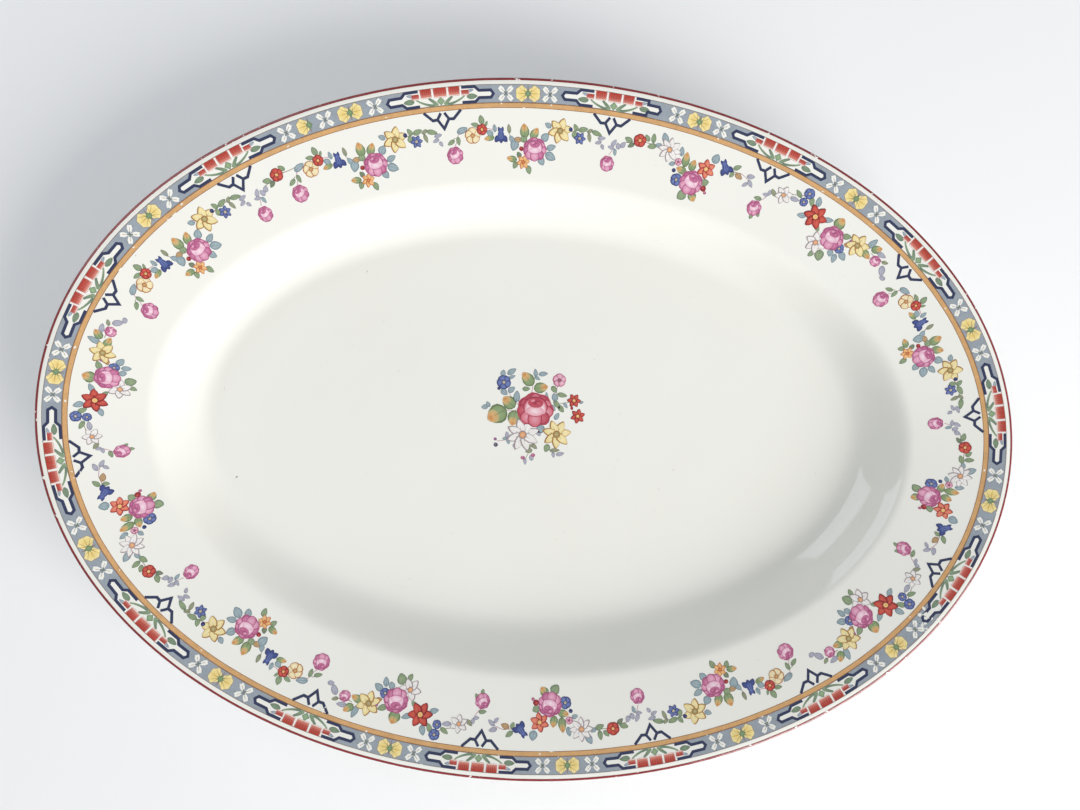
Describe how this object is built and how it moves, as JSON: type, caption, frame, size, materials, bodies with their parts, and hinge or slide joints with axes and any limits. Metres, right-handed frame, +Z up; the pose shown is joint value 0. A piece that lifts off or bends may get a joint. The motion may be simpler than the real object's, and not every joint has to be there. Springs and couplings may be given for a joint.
{
  "type": "oval serving platter",
  "caption": "Oval glazed china serving platter with a shallow well, a broad rim, a foot ring, and a printed and painted floral border",
  "frame": {"origin": "middle of the footprint, on the surface that the platter stands on", "axes": "+X along the length, +Y along the width, +Z up out of the well"},
  "size_m": [0.356, 0.2556, 0.0301],
  "materials": {
    "china": "warm white glazed china",
    "rust_line": "worn rust-brown painted line under the glaze sheen",
    "blue_band": "blue-grey printed ground",
    "ochre": "ochre painted line",
    "navy": "navy printed outline",
    "red_bloom": "red printed blooms",
    "leaf_green": "green printed leaves and stems",
    "yellow_blossom": "pale yellow printed blossoms",
    "flower_print": "many-coloured flower print, here in its middle tone"
  },
  "bodies": {
    "root": {"china_body": "china", "edge_line": "rust_line", "band_ground": "blue_band", "ochre_line": "ochre", "cartouche_frames": "navy", "cartouche_blooms": "red_bloom", "cartouche_stems": "leaf_green", "cartouche_leaves": "leaf_green", "yellow_blossoms": "yellow_blossom", "pendants": "navy", "garland_01": "flower_print", "garland_02": "flower_print", "garland_03": "flower_print", "garland_04": "flower_print", "garland_05": "flower_print", "garland_06": "flower_print", "garland_07": "flower_print", "garland_08": "flower_print", "garland_09": "flower_print", "garland_10": "flower_print", "garland_11": "flower_print", "garland_12": "flower_print", "garland_13": "flower_print", "garland_14": "flower_print", "garland_stub": "flower_print", "centre_bouquet": "flower_print"}
  },
  "joints": []
}
